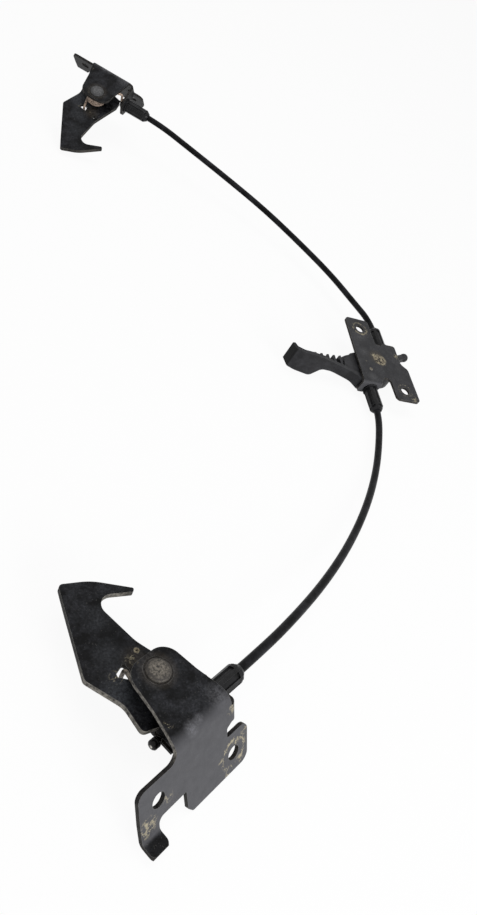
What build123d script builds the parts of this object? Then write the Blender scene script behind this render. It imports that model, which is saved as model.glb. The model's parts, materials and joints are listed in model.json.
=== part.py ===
from build123d import *
import math
import os

os.makedirs("parts", exist_ok=True)

# Bonnet release cable: one hand lever pulls two Bowden cables that open two mirrored latches.
# Row frame: origin at the release bracket's lower fixing hole, +Z up from the surface it lies on.

# Sheet metal
sheet = 2.0
bend_in = 1.5
hole_d = 7.2

# Pivot rivets
pivot_d = 8.0
pivot_play = 0.06
head_d = 11.6
head_h = 1.7
tail_d = 11.0
tail_h = 1.6
washer_t = 1.0
washer_d = 14.0
part_gap = 0.3
press_gap = 0.1

# Bowden cable
conduit_d = 5.0
wire_d = 1.5
wire_bore_d = 2.6
socket_depth = 8.0
neck_d = 8.0
neck_play = 0.1
barrel_d = 8.6
rib_d = 10.2
rib_w = 2.2
rib_count = 6
barrel_len = 22.0
flange_d = 11.8
flange_t = 1.5
snap_d = 9.4
snap_len = 3.0
ferrule_tail = 1.5

# Latch bracket, in latch axes: x towards the cable, y towards the hook, z off the pivot flange
fold_angle = 63.6
fold_y = -28.5
fold_out = 8.0
flange_nose_r = 8.7
face_drop = 42.6
face_right = 17.2
face_left = -18.2
leg_left = -40.8
leg_right = -30.2
leg_drop = 34.5
leg_tab_len = 7.0
leg_tab_turn = 60.0
hole_leg = (-29.8, 19.0)
hole_ear = (18.0, 32.3)
coin_d = 13.6
coin_depth = 0.3
cable_y = -19.0
cable_z = -17.6
ear_x = 19.2
ear_low = -27.0
lobe_right = 28.0

# Hook
hook_t = 3.0
hook_top = -12.0
hook_len = 62.8
throat_x = 8.7
hook_turn = 20.0
tab_x = -7.5
tab_low = -20.8
arm_end = -26.5
tab_high = -14.2
edge_low = -16.2
hook_play = 0.6
slot_w = 2.4

# Torsion spring
spring_wire = 2.0
spring_r = 7.0
spring_turns = 3
spring_gap = 0.2
bush_d = 11.0
spring_stop_y = -14.0
spring_hang = 7.4

# Nipples
nipple_d = 4.8
nipple_len = 3.4
nose_d = 3.6
nose_len = 1.8
pin_d = 5.6
pin_len = 7.0
pocket_play = 0.7

# Release bracket, in plate axes: origin at the lever pivot, z off the plate's top
plate_hole_low = (14.9, -29.0)
plate_hole_high = (-9.3, 31.6)
pilot_hole = (-12.1, -12.1)
pilot_d = 3.0
flange_low_y = -26.0
flange_high_y = 21.0
flange_drop = 12.5
cable_depth = 8.0
tongue_edge = 2.5

# Release lever
lever_turn = 28.0
lever_reach = 83.6
grip_top = 4.0
grip_low = -17.0
hub_side = -20.6
hub_front = -22.9
pull_r = 12.9
hub_r = 17.0
hub_top = -2.4
hub_t = 12.4
wall_t = 3.0
rib_t = 1.8
lever_ribs = 7
rib_first_x = -73.0
rib_pitch = 5.8
rib_top = 0.3
rib_step = 0.23
web_t = 2.4
web_top = -4.6
stub_d = 7.0
stub_z = -5.0
tail_r = 34.8
tail_turn = 23.7
tail_t = 4.6

# Longer than any piece, for cutting tools
span = 200.0

# Placements in the row frame
PLATE_X = (0.927, -0.374, 0.009)
PLATE_Z = (-0.054, -0.109, 0.993)
NEAR_PIVOT = (-333.7, -139.2, 19.6)
NEAR_X = (0.973, 0.229, 0.033)
NEAR_Z = (-0.046, 0.052, 0.998)
FAR_PIVOT = (-95.0, 360.2, 27.2)
FAR_X = (0.598, -0.801, 0.000)
FAR_Z = (-0.350, -0.262, 0.899)
lead_out = 10.0
lead_in = 12.0

# Free points of each cable's route, between its straight leads
LEFT_ROUTE = [
    (-52.0, -30.5, -12.9),
    (-82.0, -57.5, -12.6),
    (-117.0, -81.5, -10.8),
    (-157.0, -103.5, -8.0),
    (-199.0, -121.8, -3.5),
    (-243.0, -137.0, 2.3),
]
RIGHT_ROUTE = [
    (33.2, 103.0, 0.6),
    (37.2, 142.0, 0.3),
    (33.2, 184.5, 1.0),
    (21.8, 228.5, 4.2),
    (2.0, 268.5, 8.6),
    (-21.5, 306.0, 14.0),
]


def outline(corners):
    """Closed face from corners (x, y, fillet radius)."""
    points = [(x, y) for x, y, r in corners]
    radii = [r for x, y, r in corners]
    return make_face(FilletPolyline(*points, radius=radii, close=True).edges())


def prism(corners, low, high):
    """Solid with the outline's section between two heights."""
    return Pos(0, 0, low) * extrude(outline(corners), high - low)


def cross_prism(corners, low, high):
    """Outline drawn in Y and Z, extruded along X."""
    return extrude(Plane.YZ.offset(low) * outline(corners), high - low)


def side_prism(corners, low, high):
    """Outline drawn in X and Z, extruded along Y."""
    return Pos(0, high, 0) * extrude(Plane.XZ * outline(corners), high - low)


def disc(diameter, low, high, x=0.0, y=0.0):
    """Upright cylinder between two heights."""
    return Pos(x, y, (low + high) / 2) * Cylinder(diameter / 2, high - low)


def turned(profile):
    """Solid of revolution about Z from points (r, z)."""
    face = make_face(Polyline(*[(r, z) for r, z in profile], close=True).edges())
    return revolve(Plane.XZ * face, Axis.Z)


def unit(v):
    return Vector(*v).normalized()


# Latch


def face_plane():
    """Plane of the mounting face: x along the fold, y up the face, z outwards."""
    fold = math.radians(fold_angle)
    return Plane(origin=(0, fold_y, 0), x_dir=(1, 0, 0), z_dir=(0, -math.sin(fold), math.cos(fold)))


def latch_bracket():
    fold = math.radians(fold_angle)
    down_y = -math.cos(fold)
    down_z = -math.sin(fold)
    nose_y = flange_nose_r + 1
    low_y = fold_y + down_y * (face_drop + 1)
    low_z = down_z * (face_drop + 1)
    in_y = math.sin(fold) * sheet
    in_z = -math.cos(fold) * sheet
    inner_y = fold_y + sheet * math.tan(fold / 2)
    section = [
        (nose_y, 0, 0),
        (fold_y, 0, fold_out),
        (low_y, low_z, 0),
        (low_y + in_y, low_z + in_z, 0),
        (inner_y, -sheet, fold_out - sheet),
        (nose_y, -sheet, 0),
    ]
    folded = cross_prism(section, -46, 36)
    # The pivot flange, with its round nose
    split_y = fold_y + 2
    tongue_low = fold_y + fold_out - 2
    flange = prism(
        [
            (face_left, split_y, 0),
            (face_left, split_y + 1, 2),
            (-14.9, -12.0, 6),
            (-11.9, flange_nose_r, flange_nose_r),
            (12.6, flange_nose_r, flange_nose_r),
            (14.6, -9.5, 6),
            (face_right, tongue_low, 2),
            (face_right, split_y, 0),
        ],
        -sheet - 1,
        1,
    )
    # The mounting face, with its leg, ear, lobe and notches
    face = extrude(
        face_plane()
        * outline(
            [
                (face_right, 4, 0),
                (face_right, -13.7, 1),
                (13.8, -15.3, 1.2),
                (13.8, -20.5, 0.8),
                (lobe_right, -20.5, 5),
                (lobe_right, -face_drop, 4.5),
                (-9.8, -face_drop, 2),
                (-12.8, 3.5 - face_drop, 2),
                (-13.6, -28.5, 0.6),
                (leg_right, -28.8, 3),
                (leg_right, 1.5 - leg_drop, 0),
                (leg_left + 0.5, 1.5 - leg_drop, 0),
                (leg_left, -24.0, 4),
                (leg_left, -8.2, 4),
                (face_left, -8.2, 4.6),
                (face_left, 4, 0),
            ]
        ),
        8,
        both=True,
    )
    front = Pos(0, split_y - span / 2, 0) * Box(span, span, span)
    back = Pos(0, split_y + span / 2, 0) * Box(span, span, span)
    body = (folded & flange & back) + (folded & face & front)
    # The small tab folded outwards below the leg
    lean = math.radians(leg_tab_turn)
    tip_y = -leg_drop - leg_tab_len * math.cos(lean)
    tip_z = leg_tab_len * math.sin(lean)
    tab_section = [
        (2.5 - leg_drop, 0, 0),
        (-leg_drop, 0, bend_in + 1),
        (tip_y, tip_z, 0),
        (tip_y - sheet * math.sin(lean), tip_z - sheet * math.cos(lean), 0),
        (-leg_drop - sheet * math.tan(lean / 2), -sheet, bend_in + 1 + sheet),
        (2.5 - leg_drop, -sheet, 0),
    ]
    tab_view = [
        (leg_left + 0.5, -sheet - 1, 0),
        (leg_right, -sheet - 1, 0),
        (leg_right, tip_z, 2.5),
        (leg_left + 0.5, tip_z, 2.5),
    ]
    tab = cross_prism(tab_section, leg_left, leg_right + 1) & side_prism(tab_view, -span, 0)
    body += face_plane().location * tab
    # The cable ear folded back from the face's right lobe
    ear_fold = face_plane().location * side_prism(
        [
            (12, 0, 0),
            (ear_x + sheet, 0, bend_in + sheet),
            (ear_x + sheet, -32, 0),
            (ear_x, -32, 0),
            (ear_x, -sheet, bend_in),
            (12, -sheet, 0),
        ],
        -32,
        8,
    )
    ear = cross_prism(
        [
            (-31.6, -4.0, 0),
            (-35.5, -11.8, 0),
            (-32.0, -13.6, 1.5),
            (-30.6, -19.5, 6),
            (-22.5, ear_low, 7),
            (-12.3, ear_low + 1.5, 6),
            (-10.4, -14.5, 4),
            (-13.0, -8.6, 3),
            (-19.0, -6.4, 2),
            (-27.0, -5.4, 1),
        ],
        14,
        ear_x + sheet + 1,
    )
    body += ear_fold & ear
    # Holes: pivot, coined seat, cable neck and the two fixing holes
    body -= disc(pivot_d + press_gap * 2, -sheet - 1, 1)
    body -= disc(coin_d, -coin_depth, 1)
    neck_hole = Cylinder(neck_d / 2 + neck_play, 3 * sheet)
    body -= Pos(ear_x + sheet / 2, cable_y, cable_z) * Rot(0, 90, 0) * neck_hole
    for x, drop in (hole_leg, hole_ear):
        body -= face_plane().location * Pos(x, -drop, -sheet / 2) * Cylinder(hole_d / 2, 3 * sheet)
    return body


def hook():
    low = hook_top - hook_t
    plate = prism(
        [
            (1.3, hook_len, 2.2),
            (15.3, 56.0, 30),
            (29.9, 41.4, 0.8),
            (28.2, 39.9, 0.8),
            (throat_x, 50.0, 6.2),
            (10.2, 20.0, 20),
            (17.6, -6.0, 4),
            (17.0, -14.5, 3.5),
            (6.0, -17.5, 3),
            (4.0, arm_end, 3),
            (tab_x + 1, arm_end, 0),
            (tab_x + 1, tab_high, 0),
            (-10.2, edge_low, 0.8),
            (-17.8, -13.6, 2.5),
            (-15.4, 0.0, 12),
            (-21.4, 19.0, 3),
            (-6.0, 49.0, 40),
        ],
        low,
        hook_top,
    )
    # The cable tab folded down from the arm
    tab_fold = extrude(
        Plane.XZ.offset(-arm_end)
        * outline(
            [
                (tab_x + 2, hook_top, 0),
                (tab_x - hook_t, hook_top, bend_in + hook_t),
                (tab_x - hook_t, tab_low, 0.6),
                (tab_x, tab_low, 0.6),
                (tab_x, low, bend_in),
                (tab_x + 2, low, 0),
            ]
        ),
        arm_end - tab_high,
    )
    body = plate + tab_fold
    # Open slot that the wire drops into
    slot_end = tab_high - 1.3
    slot_len = slot_end - arm_end + 2
    body -= Pos(tab_x - hook_t / 2, slot_end - slot_len / 2, cable_z) * Box(3 * hook_t, slot_len, slot_w)
    # Pivot bore, spring slot and tooling hole
    body -= disc(pivot_d + pivot_play * 2, low - 1, hook_top + 1)
    body -= prism(
        [
            (-2.0, 15.0, 0.8),
            (-8.2, 13.2, 0.8),
            (-8.8, 11.4, 0.8),
            (-5.8, 7.8, 0.8),
            (-2.6, 9.6, 0.8),
        ],
        low - 1,
        hook_top + 1,
    )
    body -= disc(pilot_d, low - 1, hook_top + 1, 7.2, 16.1)
    return body


def hook_washer_top():
    return hook_top - hook_t - part_gap


def hook_rivet():
    seat = hook_washer_top() - washer_t
    r = pivot_d / 2
    return turned(
        [
            (0, head_h - coin_depth),
            (head_d / 2 - 1.6, head_h - coin_depth),
            (head_d / 2 - 0.5, head_h - 0.5 - coin_depth),
            (head_d / 2, head_h - 1.1 - coin_depth),
            (head_d / 2, -coin_depth),
            (r, -coin_depth),
            (r, seat),
            (tail_d / 2, seat),
            (tail_d / 2 - 0.3, seat - tail_h / 2),
            (tail_d / 2 - 1.5, seat - tail_h),
            (0, seat - tail_h),
        ]
    )


def hook_bush():
    tube = disc(bush_d, hook_top + part_gap, -sheet)
    return tube - disc(pivot_d + press_gap * 2, hook_top - 1, 0)


def hook_washer():
    top = hook_washer_top()
    return disc(washer_d, top - washer_t, top) - disc(pivot_d + press_gap * 2, top - 2, top + 1)


def hook_spring():
    """Torsion spring: a coil round the bush, with one leg in the hook's slot and one on the ear."""
    foot = (-4.6, 12.0)
    stop = (ear_x - spring_wire / 2 - part_gap, spring_stop_y)
    # Where each leg leaves the coil at a tangent
    foot_turn = math.degrees(math.acos(spring_r / math.hypot(*foot)))
    stop_turn = math.degrees(math.acos(spring_r / math.hypot(*stop)))
    start = math.degrees(math.atan2(foot[1], foot[0])) + foot_turn
    end = math.degrees(math.atan2(stop[1], stop[0])) - stop_turn + 360
    turns = spring_turns + (end - start) / 360
    # The legs rise at the coil's own slope, so the whole spring is one smooth bar
    foot_len = math.sqrt(math.hypot(*foot) ** 2 - spring_r**2)
    stop_len = math.sqrt(math.hypot(*stop) ** 2 - spring_r**2)
    bar_len = foot_len + stop_len + 2 * math.pi * spring_r * turns
    foot_z = hook_top + spring_gap + spring_wire / 2
    stop_z = -sheet - spring_gap - spring_wire / 2
    slope = (stop_z - foot_z) / bar_len
    low = foot_z + slope * foot_len
    high = stop_z - slope * stop_len
    coil = Helix(pitch=(high - low) / turns, height=high - low, radius=spring_r)
    coil = Pos(0, 0, low) * Rot(0, 0, start) * coil
    foot_low = hook_top - hook_t - 1.8
    leg_in = FilletPolyline((*foot, foot_low), (*foot, foot_z), tuple(coil @ 0), radius=[spring_wire])
    stop_low = stop_z - spring_hang
    leg_out = FilletPolyline(tuple(coil @ 1), (*stop, stop_z), (*stop, stop_low), radius=[spring_wire])
    path = Wire([*leg_in.edges(), coil.edge(), *leg_out.edges()])
    section = Plane(origin=(*foot, foot_low), z_dir=(0, 0, 1)) * Circle(spring_wire / 2)
    return sweep(section, path=path)


# Cable ends, drawn along +Z from the outer face of the sheet that holds them


def ferrule():
    groove = sheet + neck_play
    r = neck_d / 2
    body = turned(
        [
            (wire_bore_d / 2, -groove - snap_len),
            (r - 0.6, -groove - snap_len),
            (snap_d / 2, -groove - snap_len * 0.4),
            (snap_d / 2, -groove),
            (r, -groove),
            (r, 0),
            (flange_d / 2, 0),
            (flange_d / 2, flange_t),
            (barrel_d / 2, flange_t),
            (barrel_d / 2, barrel_len - ferrule_tail),
            (conduit_d / 2 + 0.9, barrel_len),
            (conduit_d / 2 + neck_play / 2, barrel_len),
            (conduit_d / 2 + neck_play / 2, barrel_len - socket_depth),
            (wire_bore_d / 2, barrel_len - socket_depth),
        ]
    )
    # Long ribs, chamfered at the cable end
    rib_r = rib_d / 2
    rib = side_prism(
        [
            (barrel_d / 2 - 1, flange_t, 0),
            (rib_r, flange_t, 0),
            (rib_r, barrel_len - ferrule_tail - 1.2, 0),
            (rib_r - 0.8, barrel_len - ferrule_tail, 0),
            (barrel_d / 2 - 1, barrel_len - ferrule_tail, 0),
        ],
        -rib_w / 2,
        rib_w / 2,
    )
    for i in range(rib_count):
        body += Rot(0, 0, 360 / rib_count * i) * rib
    # End collar round the barrel
    collar = turned(
        [
            (barrel_d / 2 - 0.5, barrel_len - 4.6),
            (rib_r + 0.1, barrel_len - 4.6),
            (rib_r + 0.1, barrel_len - 3.4),
            (barrel_d / 2 - 0.5, barrel_len - 3.4),
        ]
    )
    return body + collar


def hook_nipple():
    """Stepped nipple, +X towards the tab; its nose touches the tab at x = 0."""
    nose_r = nose_d / 2
    body = turned(
        [
            (wire_d / 2 + press_gap / 2, 0),
            (nose_r - 0.5, 0),
            (nose_r, -0.5),
            (nose_r, -nose_len),
            (nipple_d / 2, -nose_len),
            (nipple_d / 2, -nose_len - nipple_len + 1),
            (nipple_d / 2 - 1, -nose_len - nipple_len),
            (wire_d / 2 + press_gap / 2, -nose_len - nipple_len),
        ]
    )
    return Rot(0, 90, 0) * body


def hook_wire(reach):
    """Inner wire from the nipple's back, `reach` long."""
    start = -nose_len - nipple_len
    return Rot(0, 90, 0) * disc(wire_d, start, start + reach)


def lever_nipple():
    """Upright pin nipple with a cross hole for its wire along Y."""
    body = disc(pin_d, -pin_len / 2, pin_len / 2)
    body = chamfer(body.edges().filter_by(GeomType.CIRCLE), 0.5)
    return body - Rot(90, 0, 0) * Cylinder(wire_d / 2 + press_gap / 2, 2 * pin_d)


# Release bracket and lever


def release_bracket():
    fold_low_y = flange_low_y
    body = prism(
        [
            (-20.4, 42.7, 3.5),
            (1.0, 42.3, 3.0),
            (0.9, 17.6, 2.4),
            (5.6, 16.2, 2.0),
            (9.4, 20.6 - bend_in, 0.5),
            (20.6, 20.6 - bend_in, 2.0),
            (20.4, 0.0, 6),
            (26.0, -5.0, 4),
            (26.2, -39.0, 3.5),
            (4.4, -39.0, 3.5),
            (4.2, -19.6, 3.5),
            (-1.0, -18.6, 1.5),
            (-4.7, -22.4, 0.5),
            (-22.4, -22.4, 0.5),
        ],
        -sheet,
        0,
    )
    # Cable flange folded down at the lower side, open below round the ferrule's neck
    low_x = -pull_x()
    half_neck = neck_d / 2
    tongue = half_neck + tongue_edge
    low_fold = cross_prism(
        [
            (-18, 0, 0),
            (fold_low_y, 0, bend_in + sheet),
            (fold_low_y, -flange_drop, 0),
            (fold_low_y + sheet, -flange_drop, 0),
            (fold_low_y + sheet, -sheet, bend_in),
            (-18, -sheet, 0),
        ],
        -26,
        -4,
    )
    low_shape = side_prism(
        [
            (-22.2, 1, 0),
            (-4.9, 1, 0),
            (-4.9, -5.0, 2.5),
            (low_x + tongue, -cable_depth - 1.5, 1.5),
            (low_x + half_neck, -cable_depth - 1.5, 0),
            (low_x + half_neck, -cable_depth, 0),
            (low_x - half_neck, -cable_depth, 0),
            (low_x - half_neck, -flange_drop, 1.2),
            (-22.6, -flange_drop, 2),
        ],
        fold_low_y - 1,
        -17,
    )
    body += low_fold & low_shape
    # Cable flange folded down at the upper side
    high_x = pull_x()
    high_fold = cross_prism(
        [
            (15, 0, 0),
            (flange_high_y, 0, bend_in + sheet),
            (flange_high_y, -flange_drop, 0),
            (flange_high_y - sheet, -flange_drop, 0),
            (flange_high_y - sheet, -sheet, bend_in),
            (15, -sheet, 0),
        ],
        6,
        22,
    )
    high_shape = side_prism(
        [
            (9.6, 1, 0),
            (9.6, -3.0, 0),
            (high_x - tongue, -3.0, 1),
            (high_x - tongue, -flange_drop, 1.2),
            (high_x - half_neck, -flange_drop, 1),
            (high_x - half_neck, -cable_depth, 0),
            (high_x + half_neck, -cable_depth, 0),
            (high_x + half_neck, -flange_drop, 1),
            (high_x + tongue, -flange_drop, 1.2),
            (high_x + tongue, 1, 0),
        ],
        14,
        flange_high_y + 1,
    )
    body += high_fold & high_shape
    # Cable necks, fixing holes, pilot hole and the rivet's hole
    neck = Cylinder(neck_d / 2 + neck_play, 4 * sheet)
    body -= Pos(low_x, fold_low_y, -cable_depth) * Rot(90, 0, 0) * neck
    body -= Pos(high_x, flange_high_y, -cable_depth) * Rot(90, 0, 0) * neck
    for x, y in (plate_hole_low, plate_hole_high):
        body -= disc(hole_d, -sheet - 1, 1, x, y)
    body -= disc(pilot_d, -sheet - 1, 1, *pilot_hole)
    return body - disc(pivot_d + press_gap * 2, -sheet - 1, 1)


def pull_x():
    """Distance of each wire from the pivot, square to the wires."""
    return pull_r * math.cos(math.radians(lever_turn / 2))


def pull_y():
    """Half of the wires' travel."""
    return pull_r * math.sin(math.radians(lever_turn / 2))


def release_lever():
    hub_low = hub_top - hub_t
    # Plan of the front wall, from the outer lip to the hub
    front = [
        (-lever_reach, -5.6, 0.6),
        (2.4 - lever_reach, -11.2, 1.5),
        (-74.0, -13.6, 12),
        (-62.0, -14.4, 30),
        (-44.0, -14.9, 30),
        (-31.0, -18.4, 14),
        (hub_side, hub_front, 2),
    ]
    back = [
        (-10.0, -9.0, 0),
        (hub_side, hub_front + 2 * wall_t, 1),
        (-31.0, -18.4 + wall_t, 14),
        (-44.0, -14.9 + wall_t, 30),
        (-62.0, -14.4 + wall_t, 30),
        (-74.0, -13.6 + wall_t, 10),
        (4.4 - lever_reach, -11.4 + wall_t, 1),
        (2.6 - lever_reach, -5.0, 0.6),
    ]
    wall_plan = front + [(-11.5, -13.0, 0)] + back
    wall_view = [
        (-lever_reach - 1, grip_top, 0),
        (-66.0, grip_top, 20),
        (-57.0, 3.2, 20),
        (-46.0, 0.4, 30),
        (-24.0, -1.8, 5),
        (-21.6, hub_top, 1),
        (-9.0, hub_top, 0),
        (-9.0, hub_low, 0),
        (hub_side, hub_low + 1.0, 2),
        (-28.0, -10.4, 8),
        (-46.0, -8.2, 8),
        (-53.6, -8.2, 5),
        (-60.0, grip_low, 4),
        (3.6 - lever_reach, grip_low + 2.6, 3),
        (-lever_reach - 1, grip_low + 6.0, 0),
    ]
    arm = prism(wall_plan, -30, 10) & side_prism(wall_view, -40, 20)
    # Ribs and web behind the wall: the web's rear edge runs from the lip to the hub
    rear = [
        (3.1 - lever_reach, -8.6, 0),
        (-72.0, -7.0, 20),
        (-52.0, -5.4, 20),
        (-38.0, -3.6, 8),
        (-30.0, 1.6, 6),
        (-17.0, 7.6, 0),
        (-10.0, 7.6, 0),
        (-10.0, -9.0, 0),
        (hub_side, -17.0, 0),
        (-31.0, -15.6, 0),
        (-44.0, -12.2, 0),
        (-62.0, -11.8, 0),
        (-74.0, -11.0, 0),
    ]
    web = prism(rear, web_top - web_t, web_top)
    rib_field = prism(rear, -30, 10)
    ribs = web
    for i in range(lever_ribs):
        x = rib_first_x + rib_pitch * i
        top = rib_top - rib_step * i
        low = web_top - web_t - 1.4
        rib = Pos(x, 0, (top + low) / 2) * Box(rib_t, span, top - low)
        ribs += rib & rib_field
    # Sloped cheek that joins the web to the hub, just clear of the plate's edge
    cheek = prism(
        [
            (-36.0, -16.6, 0),
            (-33.0, -4.0, 3),
            (-25.6, 3.4, 4),
            (-16.0, 7.6, 0),
            (-10.0, 7.6, 0),
            (-10.0, -9.0, 0),
            (hub_side, -17.0, 0),
        ],
        -8.4,
        hub_top - 0.4,
    )
    hub = disc(2 * hub_r, hub_low, hub_top)
    # Tail with a round stub
    tail_len = tail_r - hub_r + 2
    tail = Rot(0, 0, tail_turn) * Pos(tail_r - tail_len / 2, 0, stub_z) * Box(tail_len, tail_t, tail_t)
    stub = Rot(0, 0, tail_turn) * Pos(tail_r, 0, stub_z) * Sphere(stub_d / 2)
    body = arm + ribs + cheek + hub + tail + stub
    # Bore and the two nipple pockets, open below, each with a fan-shaped wire slot
    body -= disc(pivot_d + pivot_play * 2, hub_low - 1, hub_top + 1)
    pocket_r = pin_d / 2 + pocket_play
    roof = -cable_depth + pin_len / 2 + part_gap
    for side in (-1, 1):
        x = side * pull_x()
        y = side * pull_y()
        body -= disc(2 * pocket_r, hub_low - 1, roof, x, y)
        fan_len = 2 * hub_r
        flare = fan_len * math.tan(math.radians(lever_turn + 3))
        mouth = slot_w / 2
        fan = prism(
            [
                (-mouth, 0, 0),
                (mouth, 0, 0),
                (mouth, fan_len, 0),
                (-mouth - flare, fan_len, 0),
            ],
            hub_low - 1,
            -cable_depth + wire_d / 2 + part_gap + 0.4,
        )
        turn = 0 if side > 0 else 180
        body -= Pos(x, y, 0) * Rot(0, 0, turn) * fan
    return body


def lever_washer():
    top = hub_top - hub_t - part_gap
    return disc(washer_d, top - washer_t, top) - disc(pivot_d + press_gap * 2, top - 2, top + 1)


def lever_rivet():
    """Shoulder rivet: its big head is below, its tail is hammered almost flush on the plate."""
    r = pivot_d / 2
    seat = hub_top - hub_t - part_gap - washer_t
    crown = 0.9
    return turned(
        [
            (0, crown),
            (tail_d / 2 - 2.0, crown),
            (tail_d / 2 - 0.6, crown * 0.6),
            (tail_d / 2, 0),
            (r, 0),
            (r, seat),
            (head_d / 2, seat),
            (head_d / 2, seat - 1.0),
            (head_d / 2 - 1.5, seat - head_h),
            (0, seat - head_h),
        ]
    )


# Frames


def frame_at(origin, x_dir, z_dir):
    z = unit(z_dir)
    x = Vector(*x_dir)
    x = (x - z * x.dot(z)).normalized()
    return Plane(origin=origin, x_dir=tuple(x), z_dir=tuple(z))


def plate_frame():
    """Plate axes, placed so that the lower fixing hole is the row's origin."""
    turned_frame = frame_at((0, 0, 0), PLATE_X, PLATE_Z)
    hole = turned_frame.from_local_coords(Vector(plate_hole_low[0], plate_hole_low[1], 0))
    return frame_at(tuple(-hole), PLATE_X, PLATE_Z)


near = frame_at(NEAR_PIVOT, NEAR_X, NEAR_Z)
far_x = tuple(-v for v in FAR_X)
far = frame_at(FAR_PIVOT, far_x, FAR_Z)
plate = plate_frame()


def put(name, shape, frame, label_mirror=False):
    """Writes one node, mirrored first for the far latch."""
    if label_mirror:
        shape = mirror(shape, about=Plane.YZ)
    placed = frame.location * shape
    export_step(placed, f"parts/{name}.step")
    return placed


# Travel shared by the whole linkage
wire_travel = 2 * pull_y()

# Both latches
ferrule_at = Pos(ear_x + sheet, cable_y, cable_z) * Rot(0, 90, 0)
nipple_at = Pos(tab_x - hook_t - hook_play, cable_y, cable_z)
wire_end = ear_x + sheet + barrel_len - socket_depth - wire_travel - 2
hook_reach = wire_end - (tab_x - hook_t - hook_play - nose_len - nipple_len)
latch_pieces = {
    "latch_bracket": latch_bracket(),
    "hook": hook(),
    "hook_rivet": hook_rivet(),
    "hook_bush": hook_bush(),
    "hook_washer": hook_washer(),
    "hook_spring": hook_spring(),
    "latch_ferrule": ferrule_at * ferrule(),
    "hook_nipple": nipple_at * hook_nipple(),
    "hook_wire": nipple_at * hook_wire(hook_reach),
}
for piece, shape in latch_pieces.items():
    put(f"left_{piece}", shape, near)
    put(f"right_{piece}", shape, far, True)

# Release bracket, lever and the lever ends of both cables
put("release_bracket", release_bracket(), plate)
put("release_lever", release_lever(), plate)
put("lever_rivet", lever_rivet(), plate)
put("lever_washer", lever_washer(), plate)
lever_wire_len = -flange_low_y - pull_y() + barrel_len - socket_depth - part_gap + pin_d / 2
for name, side in (("left", -1), ("right", 1)):
    face_y = flange_low_y if side < 0 else flange_high_y
    holder = Pos(side * pull_x(), face_y, -cable_depth) * Rot(-90 * side, 0, 0)
    put(f"{name}_lever_ferrule", holder * ferrule(), plate)
    pin_at = Pos(side * pull_x(), side * pull_y(), -cable_depth)
    put(f"{name}_lever_nipple", pin_at * lever_nipple(), plate)
    wire_to = face_y + side * (barrel_len - socket_depth - part_gap)
    wire_from = side * (pull_y() - pin_d / 2)
    wire_len = abs(wire_to - wire_from)
    wire_mid = (wire_to + wire_from) / 2
    wire = Pos(side * pull_x(), wire_mid, -cable_depth) * Rot(90, 0, 0) * Cylinder(wire_d / 2, wire_len)
    put(f"{name}_lever_wire", wire, plate)


def cord_radii(points):
    """Largest arc that each corner's two runs leave room for."""
    radii = []
    for a, b, c in zip(points, points[1:], points[2:]):
        first = Vector(*b) - Vector(*a)
        second = Vector(*c) - Vector(*b)
        turn = math.radians(first.get_angle(second))
        shorter = min(first.length, second.length)
        radii.append(0.45 * shorter / math.tan(turn / 2))
    return radii


def conduit(name, holder_y, side, latch, free_points):
    """Sheathed conduit from the lever's ferrule socket to the latch's."""
    x = side * pull_x()
    floor = barrel_len - socket_depth
    start = plate.from_local_coords(Vector(x, holder_y + side * floor, -cable_depth))
    lead = plate.from_local_coords(Vector(x, holder_y + side * (barrel_len + lead_out), -cable_depth))
    across = -1 if latch is far else 1
    end_x = ear_x + sheet + floor
    lead_x = ear_x + sheet + barrel_len + lead_in
    arrive = latch.from_local_coords(Vector(across * lead_x, cable_y, cable_z))
    end = latch.from_local_coords(Vector(across * end_x, cable_y, cable_z))
    points = [tuple(start), tuple(lead), *free_points, tuple(arrive), tuple(end)]
    radii = cord_radii(points)
    path = FilletPolyline(*points, radius=radii)
    tube = sweep(Plane(origin=path @ 0, z_dir=path % 0) * Circle(conduit_d / 2), path=path.wire())
    export_step(tube, f"parts/{name}.step")
    length = path.wire().length
    area = math.pi * conduit_d**2 / 4
    print(name, "route", [tuple(round(v, 1) for v in p) for p in points])
    print(name, "radii", [round(r) for r in radii], "length", round(length, 1))
    print(name, "volume ratio", round(tube.volume / (area * length), 4))


conduit("left_conduit", flange_low_y, -1, near, LEFT_ROUTE)
conduit("right_conduit", flange_high_y, 1, far, RIGHT_ROUTE)
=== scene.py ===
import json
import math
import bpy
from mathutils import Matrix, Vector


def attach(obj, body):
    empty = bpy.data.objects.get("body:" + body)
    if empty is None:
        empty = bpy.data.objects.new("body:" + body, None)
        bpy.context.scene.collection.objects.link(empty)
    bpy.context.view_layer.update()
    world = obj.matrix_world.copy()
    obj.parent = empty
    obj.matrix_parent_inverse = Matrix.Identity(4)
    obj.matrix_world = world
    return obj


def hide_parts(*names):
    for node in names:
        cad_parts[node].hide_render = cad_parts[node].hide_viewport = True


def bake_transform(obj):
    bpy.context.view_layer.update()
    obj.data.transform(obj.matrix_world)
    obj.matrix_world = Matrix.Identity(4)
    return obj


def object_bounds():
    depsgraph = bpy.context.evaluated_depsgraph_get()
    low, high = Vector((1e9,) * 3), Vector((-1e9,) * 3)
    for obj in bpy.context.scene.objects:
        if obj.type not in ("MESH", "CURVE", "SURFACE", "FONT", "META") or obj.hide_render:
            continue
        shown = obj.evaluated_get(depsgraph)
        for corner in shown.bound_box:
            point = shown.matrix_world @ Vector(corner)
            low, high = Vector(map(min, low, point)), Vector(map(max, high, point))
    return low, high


bl_info = {
    "name": "Bonnet Release Cable",
    "version": (1, 0, 0),
    "blender": (4, 5, 0),
    "location": "View3D > Sidebar > Release",
    "description": "Dresses a bonnet release: lever, two sheathed cables and two hooked latches",
    "category": "Object",
}

import bpy
from mathutils import Matrix, Vector
from mathutils.bvhtree import BVHTree

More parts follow.
